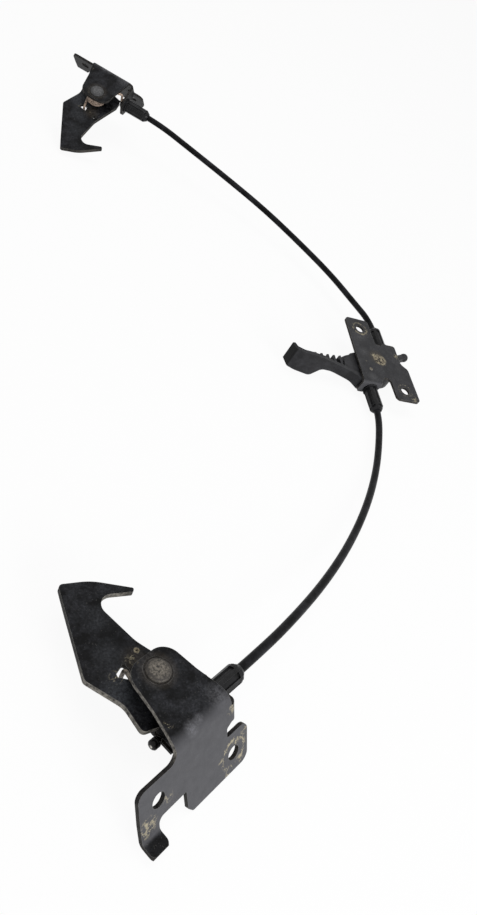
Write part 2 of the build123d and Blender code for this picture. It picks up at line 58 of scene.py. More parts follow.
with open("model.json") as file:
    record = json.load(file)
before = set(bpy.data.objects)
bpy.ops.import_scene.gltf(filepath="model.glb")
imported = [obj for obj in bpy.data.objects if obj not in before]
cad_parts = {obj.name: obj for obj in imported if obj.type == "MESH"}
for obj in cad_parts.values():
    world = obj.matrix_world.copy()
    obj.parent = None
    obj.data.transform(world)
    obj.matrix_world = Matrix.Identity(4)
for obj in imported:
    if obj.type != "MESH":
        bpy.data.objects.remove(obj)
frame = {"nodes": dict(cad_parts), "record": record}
CAD_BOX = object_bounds()
NODES = frame["nodes"]
MOUNTS = {m["name"]: Vector(m["pos_m"]) for m in frame["record"]["mounts"]}
MM = 0.001

# Control points of each cable's route, in metres, from the lever's ferrule to the latch's.
# They are the part's own, but for the left cable's second and third, moved so that it
# leaves the lever in the even bend that the photograph shows.
ROUTES = {
    "left": [
        (-0.0291, 0.0010, -0.0095),
        (-0.0335, -0.0100, -0.0110),
        (-0.0535, -0.0325, -0.0129),
        (-0.0820, -0.0575, -0.0126),
        (-0.1170, -0.0815, -0.0108),
        (-0.1570, -0.1035, -0.0080),
        (-0.1990, -0.1218, -0.0035),
        (-0.2430, -0.1370, 0.0023),
        (-0.2749, -0.1459, 0.0050),
        (-0.2943, -0.1505, 0.0044),
    ],
    "right": [
        (0.0219, 0.0607, -0.0002),
        (0.0286, 0.0773, 0.0020),
        (0.0332, 0.1030, 0.0006),
        (0.0372, 0.1420, 0.0003),
        (0.0332, 0.1845, 0.0010),
        (0.0218, 0.2285, 0.0042),
        (0.0020, 0.2685, 0.0086),
        (-0.0215, 0.3060, 0.0140),
        (-0.0421, 0.3308, 0.0197),
        (-0.0541, 0.3468, 0.0197),
    ],
}

# Latch axes in the row frame: pivot, x towards the cable, z off the pivot flange, and x's sign
LATCHES = {
    "left": ((-0.3337, -0.1392, 0.0196), (0.973, 0.229, 0.033), (-0.046, 0.052, 0.998), 1),
    "right": ((-0.0950, 0.3602, 0.0272), (-0.598, 0.801, 0.0), (-0.350, -0.262, 0.899), -1),
}
# Sizes of a latch from the part's source, in its own axes and in millimetres
SHEET = 2.0
FOLD_Y = -28.5
FOLD = math.radians(63.6)
HOOK_SHEET = 3.0
HOOK_TOP = -12.0
HOOK_PILOT = (7.2, 16.1)
NIPPLE_SEAT = (-11.1, -19.0, -17.6)
# Heights that bound a spring's coil, top and bottom
TWIST_TOP = -3.6
TWIST_BOTTOM = -10.4
# Pitch of the inner wires' outer strands
STRAND_PITCH = 0.982

# Release plate: its x and its upright, and two of its holes from the lever pivot, in millimetres
PLATE_X = Vector((0.927, -0.374, 0.009))
PLATE_Z = Vector((-0.054, -0.109, 0.993)).normalized()
PLATE_HOLE_LOW = (14.9, -29.0)
PLATE_PILOT = (-12.1, -12.1)

# Camera at the photograph's viewing angle: place and axes, and focal length and frame in pixels
CAMERA_PLACE = Vector((-0.52075, -0.23838, 0.30617))
CAMERA_RIGHT = Vector((0.737, -0.536, 0.412))
CAMERA_AHEAD = Vector((0.658, 0.426, -0.621)).normalized()
FOCAL_PIXELS = 818
FRAME_HEIGHT = 915
SENSOR = 36

# Sockets of the Mix node that hold colours
MIX_UNDER = 6
MIX_OVER = 7
MIX_RESULT = 2


def hex_colour(code):
    """sRGB hex to linear RGBA."""
    linear = []
    for i in (0, 2, 4):
        c = int(code[i : i + 2], 16) / 255
        linear.append(c / 12.92 if c <= 0.04045 else ((c + 0.055) / 1.055) ** 2.4)
    return (*linear, 1.0)


def latch_frame(side):
    """4x4 of a latch's own axes; its x is mirrored by the sign returned with it."""
    origin, x_dir, z_dir, sign = LATCHES[side]
    z = Vector(z_dir).normalized()
    x = Vector(x_dir)
    x = (x - z * x.dot(z)).normalized()
    y = z.cross(x)
    m = Matrix((x, y, z)).transposed().to_4x4()
    m.translation = Vector(origin)
    return m, sign


def latch_point(side, x, y, z=0.0):
    """Point in the row frame from a latch's own millimetres."""
    m, sign = latch_frame(side)
    return m @ Vector((sign * x * MM, y * MM, z * MM))


def latch_direction(side, x, y, z):
    """Direction in the row frame from a latch's own axes."""
    return (latch_point(side, x, y, z) - latch_point(side, 0, 0, 0)).normalized()


def face_point(side, x, drop):
    """Point on a latch's mounting face: x along the fold, drop down the face, in millimetres."""
    return latch_point(side, x, FOLD_Y - drop * math.cos(FOLD), -drop * math.sin(FOLD))


def plate_point(x, y):
    """Point on the release plate's top from the lever pivot, in millimetres."""
    across = (PLATE_X - PLATE_Z * PLATE_X.dot(PLATE_Z)).normalized()
    along = PLATE_Z.cross(across)
    return across * (x - PLATE_HOLE_LOW[0]) * MM + along * (y - PLATE_HOLE_LOW[1]) * MM


def node(owner, kind, inputs=(), output=0, **settings):
    """Adds a shader node to a material or world and returns one of its outputs.

    inputs gives its sockets a value or another node's output, in order or by name.
    """
    made = owner.node_tree.nodes.new("ShaderNode" + kind)
    for name, value in settings.items():
        setattr(made, name, value)
    pairs = inputs.items() if isinstance(inputs, dict) else enumerate(inputs)
    for key, value in pairs:
        socket = made.inputs[key]
        if isinstance(value, bpy.types.NodeSocket):
            owner.node_tree.links.new(value, socket)
        else:
            socket.default_value = value
    return made.outputs[output] if made.outputs else None


def new_material(name):
    """Empty node material."""
    mat = bpy.data.materials.new(name)
    mat.use_nodes = True
    mat.node_tree.nodes.clear()
    return mat


def finish_material(mat, colour, roughness, relief=None, metallic=0.0, specular=0.5):
    """Principled surface on the output; relief is a height, a strength and a depth in millimetres."""
    inputs = {"Base Color": colour, "Roughness": roughness}
    inputs.update({"Metallic": metallic, "Specular IOR Level": specular})
    if relief is not None:
        height, strength, depth = relief
        bump = {"Height": height, "Strength": strength, "Distance": depth * MM}
        inputs["Normal"] = node(mat, "Bump", bump)
    node(mat, "OutputMaterial", [node(mat, "BsdfPrincipled", inputs)])
    return mat


def coats(mat, colour, *films):
    """Colour built up in films over a ground: each is a mask and the colour that it lays on."""
    if isinstance(colour, str):
        colour = hex_colour(colour)
    for mask, over in films:
        if isinstance(over, str):
            over = hex_colour(over)
        inputs = {0: mask, MIX_UNDER: colour, MIX_OVER: over}
        colour = node(mat, "Mix", inputs, MIX_RESULT, data_type="RGBA")
    return colour


def mottle(mat, coords, size, detail=3.0, rough=0.55, offset=(0, 0, 0), levels=None, to=(0, 1)):
    """Noise whose blobs are about size millimetres across, spread from its levels to a range."""
    moved = node(mat, "Mapping", {"Vector": coords, "Location": offset})
    inputs = {"Vector": moved, "Scale": 1 / (size * MM), "Detail": detail, "Roughness": rough}
    blobs = node(mat, "TexNoise", inputs, "Fac")
    return blobs if levels is None else node(mat, "MapRange", [blobs, *levels, *to])


def near_point(mat, coords, point, inner, outer):
    """1 within inner millimetres of a point, fading to 0 at outer."""
    gap = node(mat, "VectorMath", [coords, point], "Value", operation="DISTANCE")
    return node(mat, "MapRange", [gap, outer * MM, inner * MM])


def ring_round(mat, coords, point, radius, width):
    """1 on a ring round a point, fading over width to both sides, in millimetres."""
    gap = node(mat, "VectorMath", [coords, point], "Value", operation="DISTANCE")
    off = node(mat, "Math", [gap, radius * MM], operation="SUBTRACT")
    off = node(mat, "Math", [off], operation="ABSOLUTE")
    return node(mat, "MapRange", [off, width * MM, 0.0])


def facing(mat, direction, low, high):
    """1 where the surface looks along a direction, 0 where it has turned away from it."""
    own = node(mat, "TexCoord", output="Normal")
    dot = node(mat, "VectorMath", [own, direction], "Value", operation="DOT_PRODUCT")
    return node(mat, "MapRange", [dot, low, high])


def edge_mask(mat, radius):
    """1 on a sharp edge, where the normal rounded over radius millimetres leaves the face's own."""
    soft = node(mat, "Bevel", {"Radius": radius * MM}, samples=6)
    own = node(mat, "NewGeometry", output="Normal")
    dot = node(mat, "VectorMath", [soft, own], "Value", operation="DOT_PRODUCT")
    return node(mat, "MapRange", [dot, 0.995, 0.86])


def dried_mud(mat, coords, outside, rings, spots):
    """Mask of dried mud, which clings to the outside in flakes and in the water's thin lines.

    A ring is a point, a radius, a width and a strength, and a spot a point, an inner and an outer
    radius and a strength.
    """
    patches = [(ring_round, ring) for ring in rings] + [(near_point, spot) for spot in spots]
    mask = None
    for shape, (*place, strength) in patches:
        patch = node(mat, "Math", [shape(mat, coords, *place), strength], operation="MULTIPLY")
        mask = patch if mask is None else node(mat, "Math", [mask, patch], operation="MAXIMUM")
    # It only sticks where water and dirt reach, and in broken stretches
    mask = node(mat, "Math", [mask, facing(mat, outside, 0.1, 0.4)], operation="MULTIPLY")
    place = (0.0, 0.03, 0.06)
    breaks = mottle(mat, coords, 6.5, rough=0.5, offset=place, levels=(0.36, 0.64), to=(0.72, 1.08))
    mask = node(mat, "Math", [mask, breaks], operation="MULTIPLY")
    # The stronger the patch, the lower the noise that still counts as a flake
    flakes = mottle(mat, coords, 3.2, detail=8.0, rough=0.72, offset=(0.01, 0.05, 0.03))
    flakes = node(mat, "Math", [flakes, mask], operation="ADD")
    flakes = node(mat, "MapRange", [flakes, 1.1, 1.26])
    # Water dries out in thin curled lines, drawn along the middle level of a slow noise
    level = mottle(mat, coords, 4.5, detail=5.0, rough=0.6)
    level = node(mat, "Math", [level, 0.5], operation="SUBTRACT")
    level = node(mat, "Math", [level], operation="ABSOLUTE")
    lines = node(mat, "MapRange", [level, 0.024, 0.006])
    strong = node(mat, "MapRange", [mask, 0.22, 0.5])
    lines = node(mat, "Math", [lines, strong], operation="MULTIPLY")
    mud = node(mat, "Math", [flakes, lines], operation="MAXIMUM")
    return node(mat, "Math", [mud, 0.82], operation="MULTIPLY")


def ecoated_steel(name, coat, dust, colours, outside, rings, spots, smears_and_painted_light, edge_wear_and_highlight, chalk_and_sheen=None):
    """Pressed steel sheet, electrocoated black: a dull even film, dusty, muddy round the screws.

    A smear is a point, an inner and an outer radius, a strength and a colour. The last argument is
    the way that the face looks which bears a chalky film and a painted sheen, the two levels between
    which that film thins out, and a strength.
    """
    mat = new_material(name)
    coords = node(mat, "TexCoord", output="Object")
    # Dust lies in soft clouds about a centimetre across, rubbed thin by handling in fine marks
    dusty = mottle(mat, coords, 9.0, detail=8.0, rough=0.7, levels=(0.42, 0.66))
    place = (0.07, 0.02, 0.0)
    untouched = mottle(mat, coords, 1.1, detail=5.0, rough=0.66, offset=place, levels=(0.4, 0.62))
    kept = node(mat, "MapRange", [untouched, 0.0, 1.0, 0.3, 1.0])
    dusty = node(mat, "Math", [dusty, kept], operation="MULTIPLY")
    colour = coats(mat, coat, (dusty, dust))
    roughness = node(mat, "MapRange", [dusty, 0.0, 1.0, 0.42, 0.62])
    # Chalked film on the face that meets the weather, thinning out round the bend; it is partly a
    # painted sheen, which lightens the face that turns outwards
    if chalk_and_sheen is not None:
        direction, low, high, amount = chalk_and_sheen
        place = (0.04, 0.0, 0.01)
        film = mottle(mat, coords, 5.0, 8.0, 0.66, offset=place, levels=(0.3, 0.7), to=(0.76, 1.0))
        film = node(mat, "Math", [film, amount], operation="MULTIPLY")
        film = node(mat, "Math", [facing(mat, direction, low, high), film], operation="MULTIPLY")
        colour = coats(mat, colour, (film, colours.chalk_and_sheen))
    # Soft pale or brown smears, rubbed thin in the same marks. Most are dirt; on the brackets the
    # grey ones along the fold are a painted sheen and the black one on the leg's tab is painted shade
    kept = node(mat, "MapRange", [untouched, 0.0, 1.0, 0.35, 1.0])
    for point, inner, outer, strength, shade in smears_and_painted_light:
        spot = near_point(mat, coords, point, inner, outer)
        spot = node(mat, "Math", [spot, kept], operation="MULTIPLY")
        spot = node(mat, "Math", [spot, strength], operation="MULTIPLY")
        colour = coats(mat, colour, (spot, shade))
    # Fine grit specks, drawn coarser than real so that they show
    place = (0.03, 0.01, 0.02)
    speck = mottle(mat, coords, 0.9, 2.0, 0.5, offset=place, levels=(0.64, 0.76), to=(0.0, 0.45))
    mud = dried_mud(mat, coords, outside, rings, spots)
    roughness = node(mat, "Math", [roughness, mud], operation="MAXIMUM")
    # Folded and pressed edges, where the film is thin and rubbed; the pale line along every sharp
    # edge is also a painted highlight
    place = (0.02, 0.02, 0.0)
    rubbed = mottle(mat, coords, 3.0, 4.0, 0.6, offset=place, levels=(0.3, 0.62), to=(0.2, 1.0))
    rubbed = node(mat, "Math", [edge_mask(mat, 0.4), rubbed], operation="MULTIPLY")
    rubbed = node(mat, "Math", [rubbed, edge_wear_and_highlight], operation="MULTIPLY")
    films = ((speck, colours.grit), (mud, colours.mud), (rubbed, colours.rubbed))
    colour = coats(mat, colour, *films)
    relief = (mottle(mat, coords, 0.7), 0.12, 0.2)
    return finish_material(mat, colour, roughness, relief, specular=0.08)


def sheared_edge(name, dark, light=None, bare=()):
    """Cut side of the sheet: the shear's torn band shows through a thin coat.

    A bare place, where it rubs and where the pale colour also paints a highlight, is a point and an
    inner and an outer radius.
    """
    mat = new_material(name)
    coords = node(mat, "TexCoord", output="Object")
    torn = mottle(mat, coords, 2.2, detail=6.0, rough=0.68, levels=(0.36, 0.62))
    colour = coats(mat, "0e0e0f", (torn, dark))
    for place in bare:
        rubbed = coats(mat, dark, (torn, light))
        colour = coats(mat, colour, (near_point(mat, coords, *place), rubbed))
    return finish_material(mat, colour, 0.6, (torn, 0.15, 0.1), specular=0.12)


def moulded_nylon(name, colour, dust, roughness, shaded_end=None):
    """Injection-moulded black nylon: dull sheen, slightly mottled, no visible grain."""
    mat = new_material(name)
    coords = node(mat, "TexCoord", output="Object")
    dusty = mottle(mat, coords, 5.0, detail=5.0, levels=(0.38, 0.72))
    spread = (roughness - 0.06, roughness + 0.1)
    rough = mottle(mat, coords, 2.0, levels=(0.3, 0.7), to=spread)
    # Sharp edges are painted a lighter grey, as a painted highlight
    edge = node(mat, "Math", [edge_mask(mat, 0.3), 0.35], operation="MULTIPLY")
    colour = coats(mat, colour, (dusty, dust), (edge, "5a5a5c"))
    # The end past a plane, given by a point and the way out, is painted near black: painted shade,
    # for the end that faces away from the light
    if shaded_end is not None:
        start, way = shaded_end
        past = node(mat, "VectorMath", [coords, start], operation="SUBTRACT")
        past = node(mat, "VectorMath", [past, way], "Value", operation="DOT_PRODUCT")
        colour = coats(mat, colour, (node(mat, "MapRange", [past, 0.0, 0.4 * MM]), "050506"))
    relief = (mottle(mat, coords, 0.5, detail=2.0), 0.08, 0.1)
    return finish_material(mat, colour, rough, relief, specular=0.18)


def extruded_sheath(name, colour, dust):
    """Extruded plastic cable sheath: smooth and black, with a soft dull sheen."""
    mat = new_material(name)
    coords = node(mat, "TexCoord", output="Object")
    dusty = mottle(mat, coords, 9.0, detail=6.0, rough=0.65, levels=(0.42, 0.68))
    rough = mottle(mat, coords, 3.0, levels=(0.3, 0.7), to=(0.3, 0.42))
    return finish_material(mat, coats(mat, colour, (dusty, dust)), rough, specular=0.07)


def worn_metal(name, bright, dull, roughness, blotch=2.2, metallic=1.0, painted_head_shading=()):
    """Plated steel rubbed dull: bright high spots with a brown-grey film between them.

    A rivet head with painted shading, a dark ring round it and a middle lighter than its rim, is a
    point, a radius and the ring's strength.
    """
    mat = new_material(name)
    coords = node(mat, "TexCoord", output="Object")
    shine = mottle(mat, coords, blotch, detail=6.0, rough=0.65, levels=(0.38, 0.66))
    for point, radius, strength in painted_head_shading:
        ring = ring_round(mat, coords, point, radius, 0.5)
        ring = node(mat, "Math", [ring, strength], operation="MULTIPLY")
        ring = node(mat, "MapRange", [ring, 0.0, 1.0, 1.0, 0.0])
        shine = node(mat, "Math", [shine, ring], operation="MULTIPLY")
        # The head is painted duller at its rim than in its middle: painted shade at the rim and a
        # painted highlight in the middle
        middle = near_point(mat, coords, point, radius * 0.4, radius * 1.35)
        middle = node(mat, "MapRange", [middle, 0.0, 1.0, 0.25, 1.0])
        shine = node(mat, "Math", [shine, middle], operation="MULTIPLY")
    rough = node(mat, "MapRange", [shine, 0.0, 1.0, roughness + 0.18, roughness])
    relief = (mottle(mat, coords, 0.8, detail=4.0), 0.25, 0.2)
    return finish_material(mat, coats(mat, dull, (shine, bright)), rough, relief, metallic)


def stranded_wire(name, dark, bright):
    """Bright stranded steel wire: bands about a millimetre apart, the pitch of its outer strands."""
    mat = new_material(name)
    coords = node(mat, "TexCoord", output="Object")
    # The wave turns by 20 radians in one unit of its scale
    scale = 2 * math.pi / (20 * STRAND_PITCH * MM)
    strands = node(mat, "TexWave", {"Vector": coords, "Scale": scale, "Distortion": 0.5}, "Fac")
    colour = coats(mat, dark, (strands, bright))
    return finish_material(mat, colour, 0.35, (strands, 0.4, 0.1), 1.0)


def caked_mud(name, pale, centre):
    """Mud dried hard in a small hole: pale and grainy, with a dark middle."""
    mat = new_material(name)
    coords = node(mat, "TexCoord", output="Object")
    grain = mottle(mat, coords, 0.8, detail=5.0, rough=0.6, levels=(0.35, 0.65))
    middle = near_point(mat, coords, centre, 0.3, 0.8)
    colour = coats(mat, "6d6454", (grain, pale), (middle, "1d1a17"))
    return finish_material(mat, colour, 0.95, specular=0.1)


def in_view(owner):
    """1 for rays that show the white ground itself, also in metal or glass, 0 for its light."""
    seen = node(owner, "LightPath", output="Is Camera Ray")
    for ray in ("Is Glossy Ray", "Is Transmission Ray"):
        other = node(owner, "LightPath", output=ray)
        seen = node(owner, "Math", [seen, other], operation="MAXIMUM")
    return seen


def pale_matt_board():
    """Floor of pale board: it shows white, but for the object's soft shadow."""
    mat = new_material("pale_matt_board")
    board = node(mat, "BsdfDiffuse", {"Color": hex_colour("f4f4f4")})
    glow = node(mat, "Emission", {"Color": hex_colour("ffffff"), "Strength": 1.0})
    share = node(mat, "Math", [in_view(mat), 0.93], operation="MULTIPLY")
    node(mat, "OutputMaterial", [node(mat, "MixShader", [share, board, glow])])
    return mat


def paint(names, mat):
    """One material all over each of these CAD nodes."""
    for name in names:
        mesh = NODES[name].data
        mesh.materials.clear()
        mesh.materials.append(mat)


def paint_sheet(name, thickness, face_mat, side_mat):
    """Face material on the sheet's two faces, side material on every polygon cut through it."""
    mesh = NODES[name].data
    paint([name], face_mat)
    mesh.materials.append(side_mat)
    polygons = [tuple(p.vertices) for p in mesh.polygons]
    tree = BVHTree.FromPolygons([v.co for v in mesh.vertices], polygons)
    # A ray goes inwards from just under each polygon and measures the metal behind it
    for polygon in mesh.polygons:
        start = polygon.center - polygon.normal * 0.01 * MM
        depth = tree.ray_cast(start, -polygon.normal, 50 * MM)[3]
        is_face = depth is not None and 0.7 * thickness < depth / MM < 1.15 * thickness
        polygon.material_index = 0 if is_face else 1


def clear_selection():
    """Leaves nothing selected, in object mode."""
    if bpy.context.object and bpy.context.object.mode != "OBJECT":
        bpy.ops.object.mode_set(mode="OBJECT")
    bpy.ops.object.select_all(action="DESELECT")


def select_only(piece):
    """Selects one piece alone and makes it the active one."""
    clear_selection()
    piece.select_set(True)
    bpy.context.view_layer.objects.active = piece


def axis_place(point, axis):
    """4x4 that puts the x axis along a direction at a point."""
    place = axis.to_track_quat("X", "Z").to_matrix().to_4x4()
    place.translation = point
    return place


def turned_piece(name, rings, place, fill="NOTHING"):
    """Turned shape: a circle, extruded and resized from ring to ring along the x axis of place.

    A ring is its x and its radius in millimetres. A radius of 0 draws the end in to a point.
    """
    clear_selection()
    x, radius = rings[0]
    bpy.ops.mesh.primitive_circle_add(
        vertices=40,
        radius=radius * MM,
        fill_type=fill,
        calc_uvs=False,
        location=(x * MM, 0, 0),
        rotation=(0, math.pi / 2, 0),
    )
    bpy.ops.object.transform_apply()
    piece = bpy.context.object
    piece.name = piece.data.name = name
    bpy.ops.object.mode_set(mode="EDIT")
    for next_x, next_radius in rings[1:]:
        move = {"value": ((next_x - x) * MM, 0, 0)}
        bpy.ops.mesh.extrude_region_move(TRANSFORM_OT_translate=move)
        if next_radius > 0:
            grow = next_radius / radius
            bpy.ops.transform.resize(value=(1, grow, grow), center_override=(0, 0, 0))
        else:
            bpy.ops.mesh.merge(type="CENTER")
        x, radius = next_x, next_radius
    bpy.ops.mesh.select_all(action="SELECT")
    bpy.ops.mesh.normals_make_consistent(inside=False)
    bpy.ops.object.mode_set(mode="OBJECT")
    bpy.ops.object.shade_smooth_by_angle(angle=math.radians(40))
    piece.data.transform(place)
    return piece


class ReleaseSizes(bpy.types.PropertyGroup):
    """Sizes that a user would change"""

    conduit_diameter: bpy.props.FloatProperty(
        name="Sheath diameter",
        description="Outside of the sheathed cable",
        default=0.005,
        unit="LENGTH",
    )
    floor_height: bpy.props.FloatProperty(
        name="Floor height",
        description="Surface that the cable lies on",
        default=CAD_BOX[0][2],
        unit="LENGTH",
    )


class ReleaseColours(bpy.types.PropertyGroup):
    """Colours that a user would change, as sRGB hex codes"""

    coat: bpy.props.StringProperty(
        name="Coat", description="Black coat on the latches' sheet steel", default="060607"
    )
    dust: bpy.props.StringProperty(
        name="Dust", description="Dust clouds on that coat", default="38393d"
    )
    plate: bpy.props.StringProperty(
        name="Plate", description="Greyer coat of the release plate", default="2e2e30"
    )
    # Pale grey of a chalky film on the mounting faces, which is also their painted sheen
    chalk_and_sheen: bpy.props.StringProperty(
        name="Chalk", description="Chalked film on the mounting faces", default="505053"
    )
    grit: bpy.props.StringProperty(
        name="Grit", description="Fine specks on the coat", default="5d5c5a"
    )
    mud: bpy.props.StringProperty(
        name="Mud", description="Dried mud round the holes", default="a89f87"
    )
    # Pale colour of rubbed bends and corners, which also paints a highlight along every sharp edge
    rubbed: bpy.props.StringProperty(
        name="Rubbed edge", description="Rubbed bends and corners", default="8b8985"
    )
    sheared: bpy.props.StringProperty(
        name="Sheared side", description="Cut sides of the release plate", default="4a4744"
    )
    nylon: bpy.props.StringProperty(
        name="Nylon", description="Moulded ferrules and nipples", default="0c0c0d"
    )
    sheath: bpy.props.StringProperty(
        name="Sheath", description="Cable sheath", default="060607"
    )


class RELEASE_OT_stage(bpy.types.Operator):
    """Pale floor, soft lights and the camera at the photograph's viewing angle"""

    bl_idname = "release.stage"
    bl_label = "Stage"

    # Name, place and target in metres, diameter, and power in watts
    LAMPS = (
        ("top_softbox", (-0.2, 0.1, 1.6), (-0.15, 0.1, 0.0), 1.2, 8.5),
        ("front_softbox", (-0.35, -1.35, 0.55), (-0.2, 0.05, 0.0), 0.8, 15.0),
    )

    def execute(self, context):
        scene = context.scene
        scene.view_settings.view_transform = "Standard"
        self.add_floor(scene.release_sizes.floor_height)
        self.add_world(scene)
        for lamp in self.LAMPS:
            self.add_lamp(*lamp)
        self.add_camera(scene)
        return {"FINISHED"}

    def add_floor(self, height):
        clear_selection()
        bpy.ops.mesh.primitive_plane_add(size=8, location=(-0.15, 0.1, height))
        floor = bpy.context.object
        floor.name = "floor"
        floor.data.transform(floor.matrix_world)
        floor.matrix_world = Matrix.Identity(4)
        floor.data.materials.append(pale_matt_board())

    def add_world(self, scene):
        world = bpy.data.worlds.new("white_studio")
        world.use_nodes = True
        world.node_tree.nodes.clear()
        level = node(world, "MapRange", [in_view(world), 0.0, 1.0, 0.35, 1.0])
        back = node(world, "Background", {"Color": hex_colour("ffffff"), "Strength": level})
        node(world, "OutputWorld", [back])
        scene.world = world

    def add_lamp(self, name, place, target, diameter, power):
        clear_selection()
        bpy.ops.object.light_add(type="AREA", location=place)
        lamp = bpy.context.object
        lamp.name = name
        lamp.data.shape = "DISK"
        lamp.data.size = diameter
        lamp.data.energy = power
        aim = Vector(target) - Vector(place)
        lamp.rotation_euler = aim.to_track_quat("-Z", "Y").to_euler()

    def add_camera(self, scene):
        clear_selection()
        bpy.ops.object.camera_add()
        camera = bpy.context.object
        camera.name = "photo_camera"
        ahead = CAMERA_AHEAD
        right = (CAMERA_RIGHT - ahead * CAMERA_RIGHT.dot(ahead)).normalized()
        down = ahead.cross(right)
        basis = Matrix((right, -down, -ahead)).transposed().to_4x4()
        basis.translation = CAMERA_PLACE
        camera.matrix_world = basis
        # The frame's long side, its height, takes the whole sensor
        camera.data.sensor_width = SENSOR
        camera.data.lens = SENSOR * FOCAL_PIXELS / FRAME_HEIGHT
        camera.data.clip_start = 0.01
        camera.data.clip_end = 20
        scene.camera = camera


class RELEASE_OT_conduits(bpy.types.Operator):
    """The two sheathed cables, each one smooth curve from ferrule to ferrule"""

    bl_idname = "release.conduits"
    bl_label = "Sheathed cables"

    def execute(self, context):
        diameter = context.scene.release_sizes.conduit_diameter
        mat = extruded_sheath("extruded_sheath", context.scene.release_colours.sheath, "232326")
        for side, points in ROUTES.items():
            curve = bpy.data.curves.new(f"{side}_sheath", "CURVE")
            curve.dimensions = "3D"
            spline = curve.splines.new("NURBS")
            spline.points.add(len(points) - 1)
            for target, point in zip(spline.points, points):
                target.co = (*point, 1.0)
            spline.order_u = 3
            spline.use_endpoint_u = True
            curve.resolution_u = 24
            curve.bevel_depth = diameter / 2
            curve.bevel_resolution = 8
            curve.use_fill_caps = True
            sheath = bpy.data.objects.new(f"{side}_sheath", curve)
            context.scene.collection.objects.link(sheath)
            curve.materials.append(mat)
            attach(sheath, "root")
            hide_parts(f"{side}_conduit")
        return {"FINISHED"}


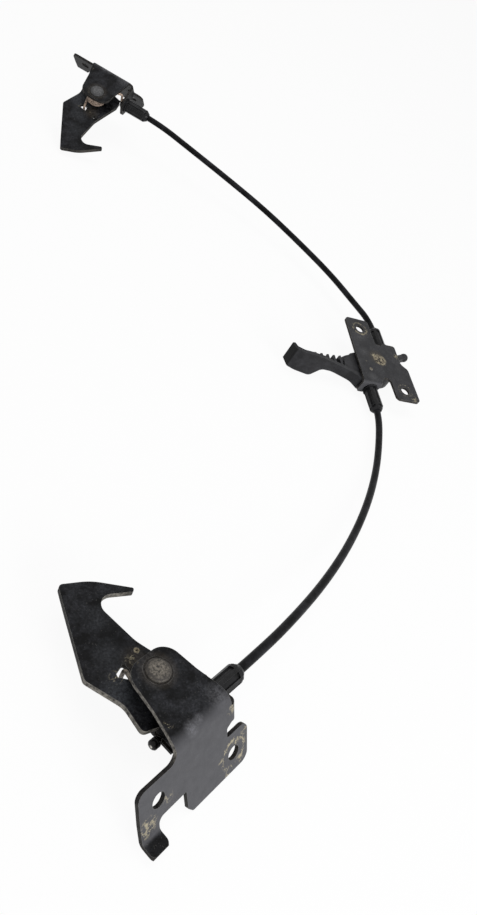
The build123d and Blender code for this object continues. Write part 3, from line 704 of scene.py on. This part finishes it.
class RELEASE_OT_brackets(bpy.types.Operator):
    """Electrocoated finish of the three sheet brackets and the two hooks"""

    bl_idname = "release.brackets"
    bl_label = "Brackets and hooks"

    # The left latch has seen more mud and wear than the right one, and gets more chalky film and
    # painted sheen. The colours are those of the pale stretches of the cut sides: steel where they
    # rub bare, and a painted highlight where the light catches them.
    BRACKET_WEAR_AND_SHEEN = {"left": (1.0, 1.0, "8f8b84"), "right": (0.8, 0.3, "55524d")}
    HOOK_WEAR_AND_HIGHLIGHT = {"left": (1.0, "928e86"), "right": (0.6, "4e4b47")}

    # Each spot of mud is a place in its sheet's own millimetres, an inner and an outer radius and
    # a strength. Each smear has a colour as well. A place on the mounting face is x and drop.
    FACE_SPOTS = (
        (25.8, 24.6, 1.0, 4.5, 0.74),
        (20.1, 26.6, 1.0, 4.0, 0.7),
        (22.6, 38.0, 1.0, 4.5, 0.74),
        (14.0, 40.5, 1.0, 5.0, 0.7),
        (9.7, 30.3, 1.0, 3.4, 0.76),
        (-36.5, 28.0, 3.0, 8.0, 0.64),
        (-24.5, 22.0, 1.0, 5.0, 0.66),
        (17.0, 6.0, 1.0, 6.0, 0.66),
    )
    FLANGE_SPOTS = (
        (-14.0, -20.0, 0.5, 4.0, 0.62),
        (-4.0, 5.5, 1.0, 5.0, 0.44),
    )
    # The brown smear round the rivet is dirt; the three grey ones along the fold are a painted sheen
    # on the bend
    FLANGE_SMEARS_AND_SHEEN = (
        (0.0, 0.0, 0.0, 6.5, 9.8, 0.36, "554e45"),
        (-7.0, -27.0, -1.0, 0.8, 4.5, 0.46, "85858a"),
        (-2.0, -26.0, 0.0, 0.5, 3.0, 0.42, "85858a"),
        (13.0, -24.0, 0.0, 1.0, 7.0, 0.5, "707074"),
    )
    PLATE_SPOTS = (
        (18.0, -34.0, 1.0, 6.0, 0.5),
        (-4.5, 3.5, 1.0, 4.5, 0.74),
        (19.0, 8.0, 1.0, 4.5, 0.74),
        (21.0, -36.0, 1.0, 6.0, 0.62),
        (-14.0, -4.0, 0.5, 3.0, 0.6),
    )
    PLATE_SMEARS = (
        (-2.0, 2.0, 5.0, 9.0, 0.4, "5c5548"),
        (-13.0, 6.0, 1.0, 6.0, 0.45, "5f5f60"),
        (-13.0, 22.0, 1.0, 7.0, 0.4, "5f5f60"),
        (-13.0, -20.0, 1.0, 5.0, 0.45, "5f5f60"),
        (14.0, -40.0, 1.0, 6.0, 0.35, "5f5f60"),
    )
    HOOK_SPOTS = (
        (-9.0, 12.0, 1.0, 6.0, 0.62),
        (2.0, 14.0, 1.0, 5.0, 0.58),
    )
    HOOK_SMEARS = (
        (3.0, 13.0, 2.0, 8.0, 0.5, "4f483f"),
        (-11.0, 5.0, 3.0, 12.0, 0.6, "4e5156"),
        (-4.0, 22.0, 2.0, 9.0, 0.5, "4a4c50"),
        (4.0, 38.0, 1.0, 9.0, 0.3, "4a4c50"),
    )
    # Stretches of the cut sides that rub bare, painted pale both as bare steel and as a highlight
    # where the light catches them: the flange's long side, by y, and the hook's rim
    FLANGE_SIDE = -14.0
    FLANGE_BARE_AND_LIT = (-28.0, -14.0, 0.0)
    HOOK_BARE_AND_LIT = ((-24.0, 2.0), (-20.0, -14.0), (-28.0, 18.0), (14.0, 44.0))

    def execute(self, context):
        colours = context.scene.release_colours
        for side in LATCHES:
            self.finish_bracket(side, colours)
            self.finish_hook(side, colours)
        self.finish_plate(colours)
        return {"FINISHED"}

    def finish_bracket(self, side, colours):
        mud, chalk_and_sheen, bare_and_lit_colour = self.BRACKET_WEAR_AND_SHEEN[side]
        outside = latch_direction(side, 0, -math.sin(FOLD), math.cos(FOLD))
        spots = [
            (face_point(side, x, drop), inner, outer, strength * mud)
            for x, drop, inner, outer, strength in self.FACE_SPOTS
        ]
        spots += [
            (latch_point(side, x, y), inner, outer, strength * mud)
            for x, y, inner, outer, strength in self.FLANGE_SPOTS
        ]
        smears_and_painted_light = [
            (latch_point(side, x, y, z), inner, outer, strength * mud, shade)
            for x, y, z, inner, outer, strength, shade in self.FLANGE_SMEARS_AND_SHEEN
        ]
        # The tab at the leg's foot is painted near black, as painted shade on its upward face
        shaded_tab = face_point(side, -35.5, 38.0) + outside * 6 * MM
        smears_and_painted_light.append((shaded_tab, 5.0, 6.6, 1.0, "020202"))
        coat = ecoated_steel(
            f"ecoated_steel_{side}_bracket",
            colours.coat,
            colours.dust,
            colours,
            outside,
            rings=[(MOUNTS[f"{side}_latch_ear_hole"], 7.4, 2.4, 0.72 * mud)],
            spots=spots,
            smears_and_painted_light=smears_and_painted_light,
            edge_wear_and_highlight=0.5,
            chalk_and_sheen=(outside, 0.52, 0.93, chalk_and_sheen),
        )
        bare = [(latch_point(side, self.FLANGE_SIDE, y), 6.0, 11.0) for y in self.FLANGE_BARE_AND_LIT]
        edge = sheared_edge(f"sheared_{side}_bracket_edge", "33312f", bare_and_lit_colour, bare)
        paint_sheet(f"{side}_latch_bracket", SHEET, coat, edge)

    def finish_hook(self, side, colours):
        mud, bare_and_lit_colour = self.HOOK_WEAR_AND_HIGHLIGHT[side]
        spots = [
            (latch_point(side, x, y, HOOK_TOP), inner, outer, strength * mud)
            for x, y, inner, outer, strength in self.HOOK_SPOTS
        ]
        smears_and_painted_light = [
            (latch_point(side, x, y, HOOK_TOP), inner, outer, strength, shade)
            for x, y, inner, outer, strength, shade in self.HOOK_SMEARS
        ]
        coat = ecoated_steel(
            f"ecoated_steel_{side}_hook",
            colours.coat,
            colours.dust,
            colours,
            latch_direction(side, 0, 0, 1),
            rings=[],
            spots=spots,
            smears_and_painted_light=smears_and_painted_light,
            edge_wear_and_highlight=0.8,
        )
        mid = HOOK_TOP - HOOK_SHEET / 2
        bare = [(latch_point(side, x, y, mid), 9.0, 15.0) for x, y in self.HOOK_BARE_AND_LIT]
        edge = sheared_edge(f"sheared_{side}_hook_edge", "3b3936", bare_and_lit_colour, bare)
        paint_sheet(f"{side}_hook", HOOK_SHEET, coat, edge)

    def finish_plate(self, colours):
        rings = [
            (MOUNTS["release_hole_high"], 6.2, 2.4, 0.76),
            (MOUNTS["release_hole_low"], 6.0, 2.0, 0.5),
            (plate_point(0.0, 0.0), 5.2, 2.2, 0.72),
        ]
        # Chalky film and a painted sheen lie on the flange that holds the left cable
        outside = (plate_point(0, -10) - plate_point(0, 0)).normalized()
        coat = ecoated_steel(
            "ecoated_steel_release_bracket",
            colours.plate,
            "474749",
            colours,
            PLATE_Z,
            rings=rings,
            spots=[(plate_point(x, y), *size) for x, y, *size in self.PLATE_SPOTS],
            smears_and_painted_light=[(plate_point(x, y), *look) for x, y, *look in self.PLATE_SMEARS],
            edge_wear_and_highlight=0.9,
            chalk_and_sheen=(outside, 0.5, 0.9, 1.0),
        )
        edge = sheared_edge("sheared_plate_edge", colours.sheared)
        paint_sheet("release_bracket", SHEET, coat, edge)


class RELEASE_OT_springs(bpy.types.Operator):
    """Torsion springs that twist between the bracket and the hook"""

    bl_idname = "release.springs"
    bl_label = "Torsion springs"

    def execute(self, context):
        # The right spring's wire is painted lighter than the left's, as a painted highlight on its
        # coil
        for side, bright, dull in (("left", "8f867a", "3c3833"), ("right", "bba796", "5c4e45")):
            wire = worn_metal(f"drawn_spring_wire_{side}", bright, dull, 0.45, 1.5, 0.4)
            mesh = NODES[f"{side}_hook_spring"].data.copy()
            mesh.materials.clear()
            mesh.materials.append(wire)
            piece = bpy.data.objects.new(f"{side}_spring_coil", mesh)
            context.scene.collection.objects.link(piece)
            select_only(piece)
            bpy.ops.object.mode_set(mode="EDIT")
            bpy.ops.mesh.select_all(action="SELECT")
            bpy.ops.mesh.remove_doubles(threshold=0.001 * MM)
            bpy.ops.object.mode_set(mode="OBJECT")
            bpy.ops.object.shade_smooth_by_angle(angle=math.radians(50))
            top = latch_point(side, 0, 0, TWIST_TOP)
            bottom = latch_point(side, 0, 0, TWIST_BOTTOM)
            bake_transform(piece)
            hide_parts(f"{side}_hook_spring")
        return {"FINISHED"}


class RELEASE_OT_fasteners(bpy.types.Operator):
    """Worn steel of the rivets, bushes and washers"""

    bl_idname = "release.fasteners"
    bl_label = "Rivets and washers"

    # Painted shading of a hook rivet's head, a dark ring and a lighter middle: height of its centre,
    # radius and strength
    HEAD_SHADING_HEIGHT = 1.2
    HEAD_SHADING = (5.0, 0.8)

    def execute(self, context):
        for side, bright, dull in (("left", "7e776c", "2c2927"), ("right", "6a6a6b", "363637")):
            painted_head_shading = [(latch_point(side, 0, 0, self.HEAD_SHADING_HEIGHT), *self.HEAD_SHADING)]
            plated = worn_metal(f"plated_rivet_steel_{side}", bright, dull, 0.6, 1.1, 0.15, painted_head_shading)
            paint([f"{side}_hook_rivet", f"{side}_hook_washer"], plated)
        turned = worn_metal("turned_bush_steel", "a9a49a", "6b655c", 0.4)
        paint([f"{side}_hook_bush" for side in LATCHES], turned)
        rusty = worn_metal("rusted_rivet_steel", "b0a48c", "0f0e0d", 0.7, 2.4, 0.1)
        paint(["lever_rivet", "lever_washer"], rusty)
        return {"FINISHED"}


class RELEASE_OT_mouldings(bpy.types.Operator):
    """Moulded nylon of the lever and the four ferrules"""

    bl_idname = "release.mouldings"
    bl_label = "Lever and ferrules"

    # Length of the lever's end that is painted dark as shade, in millimetres
    SHADED_END = 3.2

    def execute(self, context):
        pivot = plate_point(0, 0)
        corners = [vertex.co for vertex in NODES["release_lever"].data.vertices]
        tip = max(corners, key=lambda corner: (corner - pivot).length)
        way = tip - pivot
        way = (way - PLATE_Z * way.dot(PLATE_Z)).normalized()
        shaded_end = (tip - way * self.SHADED_END * MM, way)
        lever = moulded_nylon("moulded_nylon_lever", "1d1d1f", "2e2e31", 0.45, shaded_end)
        paint(["release_lever"], lever)
        colour = context.scene.release_colours.nylon
        ferrules = [f"{side}_{end}_ferrule" for side in LATCHES for end in ("latch", "lever")]
        paint(ferrules, moulded_nylon("moulded_nylon_ferrule", colour, "222224", 0.32))
        return {"FINISHED"}


class RELEASE_OT_wires(bpy.types.Operator):
    """Inner wires, and the cast nipples on their ends in the lever"""

    bl_idname = "release.wires"
    bl_label = "Wires and lever nipples"

    def execute(self, context):
        steel = stranded_wire("stranded_steel_wire", "6f6d68", "c9c6be")
        paint([f"{side}_{end}_wire" for side in LATCHES for end in ("hook", "lever")], steel)
        zinc = worn_metal("die_cast_zinc", "4a4a4b", "1f1f20", 0.45, 2.0, 0.3)
        paint([f"{side}_lever_nipple" for side in LATCHES], zinc)
        return {"FINISHED"}


class RELEASE_OT_ribs(bpy.types.Operator):
    """Ribbed skirts of the nipples that pull the hooks"""

    bl_idname = "release.ribs"
    bl_label = "Ribbed nipples"

    # Distance along the wire and radius, in millimetres: bore, nose, two ribs and the tail
    RINGS = (
        (0.0, 0.8),
        (0.0, 1.5),
        (-0.5, 2.0),
        (-1.4, 2.1),
        (-1.8, 2.45),
        (-2.5, 2.45),
        (-2.8, 2.05),
        (-3.1, 2.05),
        (-3.4, 2.45),
        (-4.3, 2.4),
        (-4.9, 1.9),
        (-5.2, 1.0),
        (-5.2, 0.8),
    )

    def execute(self, context):
        colour = context.scene.release_colours.nylon
        nylon = moulded_nylon("moulded_nylon_nipple", colour, "1c1b1a", 0.4)
        for side in LATCHES:
            along_wire = latch_direction(side, 1, 0, 0)
            place = axis_place(latch_point(side, *NIPPLE_SEAT), along_wire)
            piece = turned_piece(f"{side}_ribbed_nipple", self.RINGS, place)
            piece.data.materials.append(nylon)
            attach(piece, f"{side}_hook_wire")
            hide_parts(f"{side}_hook_nipple")
        return {"FINISHED"}


class RELEASE_OT_plugs(bpy.types.Operator):
    """Rings of dried mud in the pilot holes of the left hook and the release bracket"""

    bl_idname = "release.plugs"
    bl_label = "Mud in the pilot holes"

    # Height over the hole's rim and radius, in millimetres: a cake with a raised ring
    RINGS = (
        (-0.9, 1.42),
        (-0.1, 1.42),
        (0.15, 1.2),
        (0.15, 0.9),
        (-0.25, 0.5),
        (-0.3, 0.0),
    )

    def execute(self, context):
        hook_hole = latch_point("left", *HOOK_PILOT, HOOK_TOP)
        upright = latch_direction("left", 0, 0, 1)
        self.add_plug("hook_mud", hook_hole, upright, "left_hook", "b3a88f")
        self.add_plug("plate_mud", plate_point(*PLATE_PILOT), PLATE_Z, "root", "93908a")
        return {"FINISHED"}

    def add_plug(self, name, rim, axis, body, pale):
        piece = turned_piece(name, self.RINGS, axis_place(rim, axis), "TRIFAN")
        piece.data.materials.append(caked_mud(f"dried_{name}", pale, rim))
        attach(piece, body)


class RELEASE_PT_panel(bpy.types.Panel):
    """Sizes and colours, and a button for each step"""

    bl_idname = "RELEASE_PT_panel"
    bl_label = "Bonnet release cable"
    bl_space_type = "VIEW_3D"
    bl_region_type = "UI"
    bl_category = "Release"

    def draw(self, context):
        for group in (context.scene.release_sizes, context.scene.release_colours):
            for name in group.__annotations__:
                self.layout.prop(group, name)
        for operator in OPERATORS:
            self.layout.operator(operator.bl_idname)


OPERATORS = [
    RELEASE_OT_stage,
    RELEASE_OT_conduits,
    RELEASE_OT_brackets,
    RELEASE_OT_springs,
    RELEASE_OT_fasteners,
    RELEASE_OT_mouldings,
    RELEASE_OT_wires,
    RELEASE_OT_ribs,
    RELEASE_OT_plugs,
]
CLASSES = [ReleaseSizes, ReleaseColours, *OPERATORS, RELEASE_PT_panel]


def register():
    for item in CLASSES:
        bpy.utils.register_class(item)
    bpy.types.Scene.release_sizes = bpy.props.PointerProperty(type=ReleaseSizes)
    bpy.types.Scene.release_colours = bpy.props.PointerProperty(type=ReleaseColours)


def unregister():
    del bpy.types.Scene.release_colours
    del bpy.types.Scene.release_sizes
    for item in reversed(CLASSES):
        bpy.utils.unregister_class(item)


def main():
    register()
    bpy.ops.release.stage()
    bpy.ops.release.conduits()
    bpy.ops.release.brackets()
    bpy.ops.release.springs()
    bpy.ops.release.fasteners()
    bpy.ops.release.mouldings()
    bpy.ops.release.wires()
    bpy.ops.release.ribs()
    bpy.ops.release.plugs()


if __name__ == "__main__":
    main()
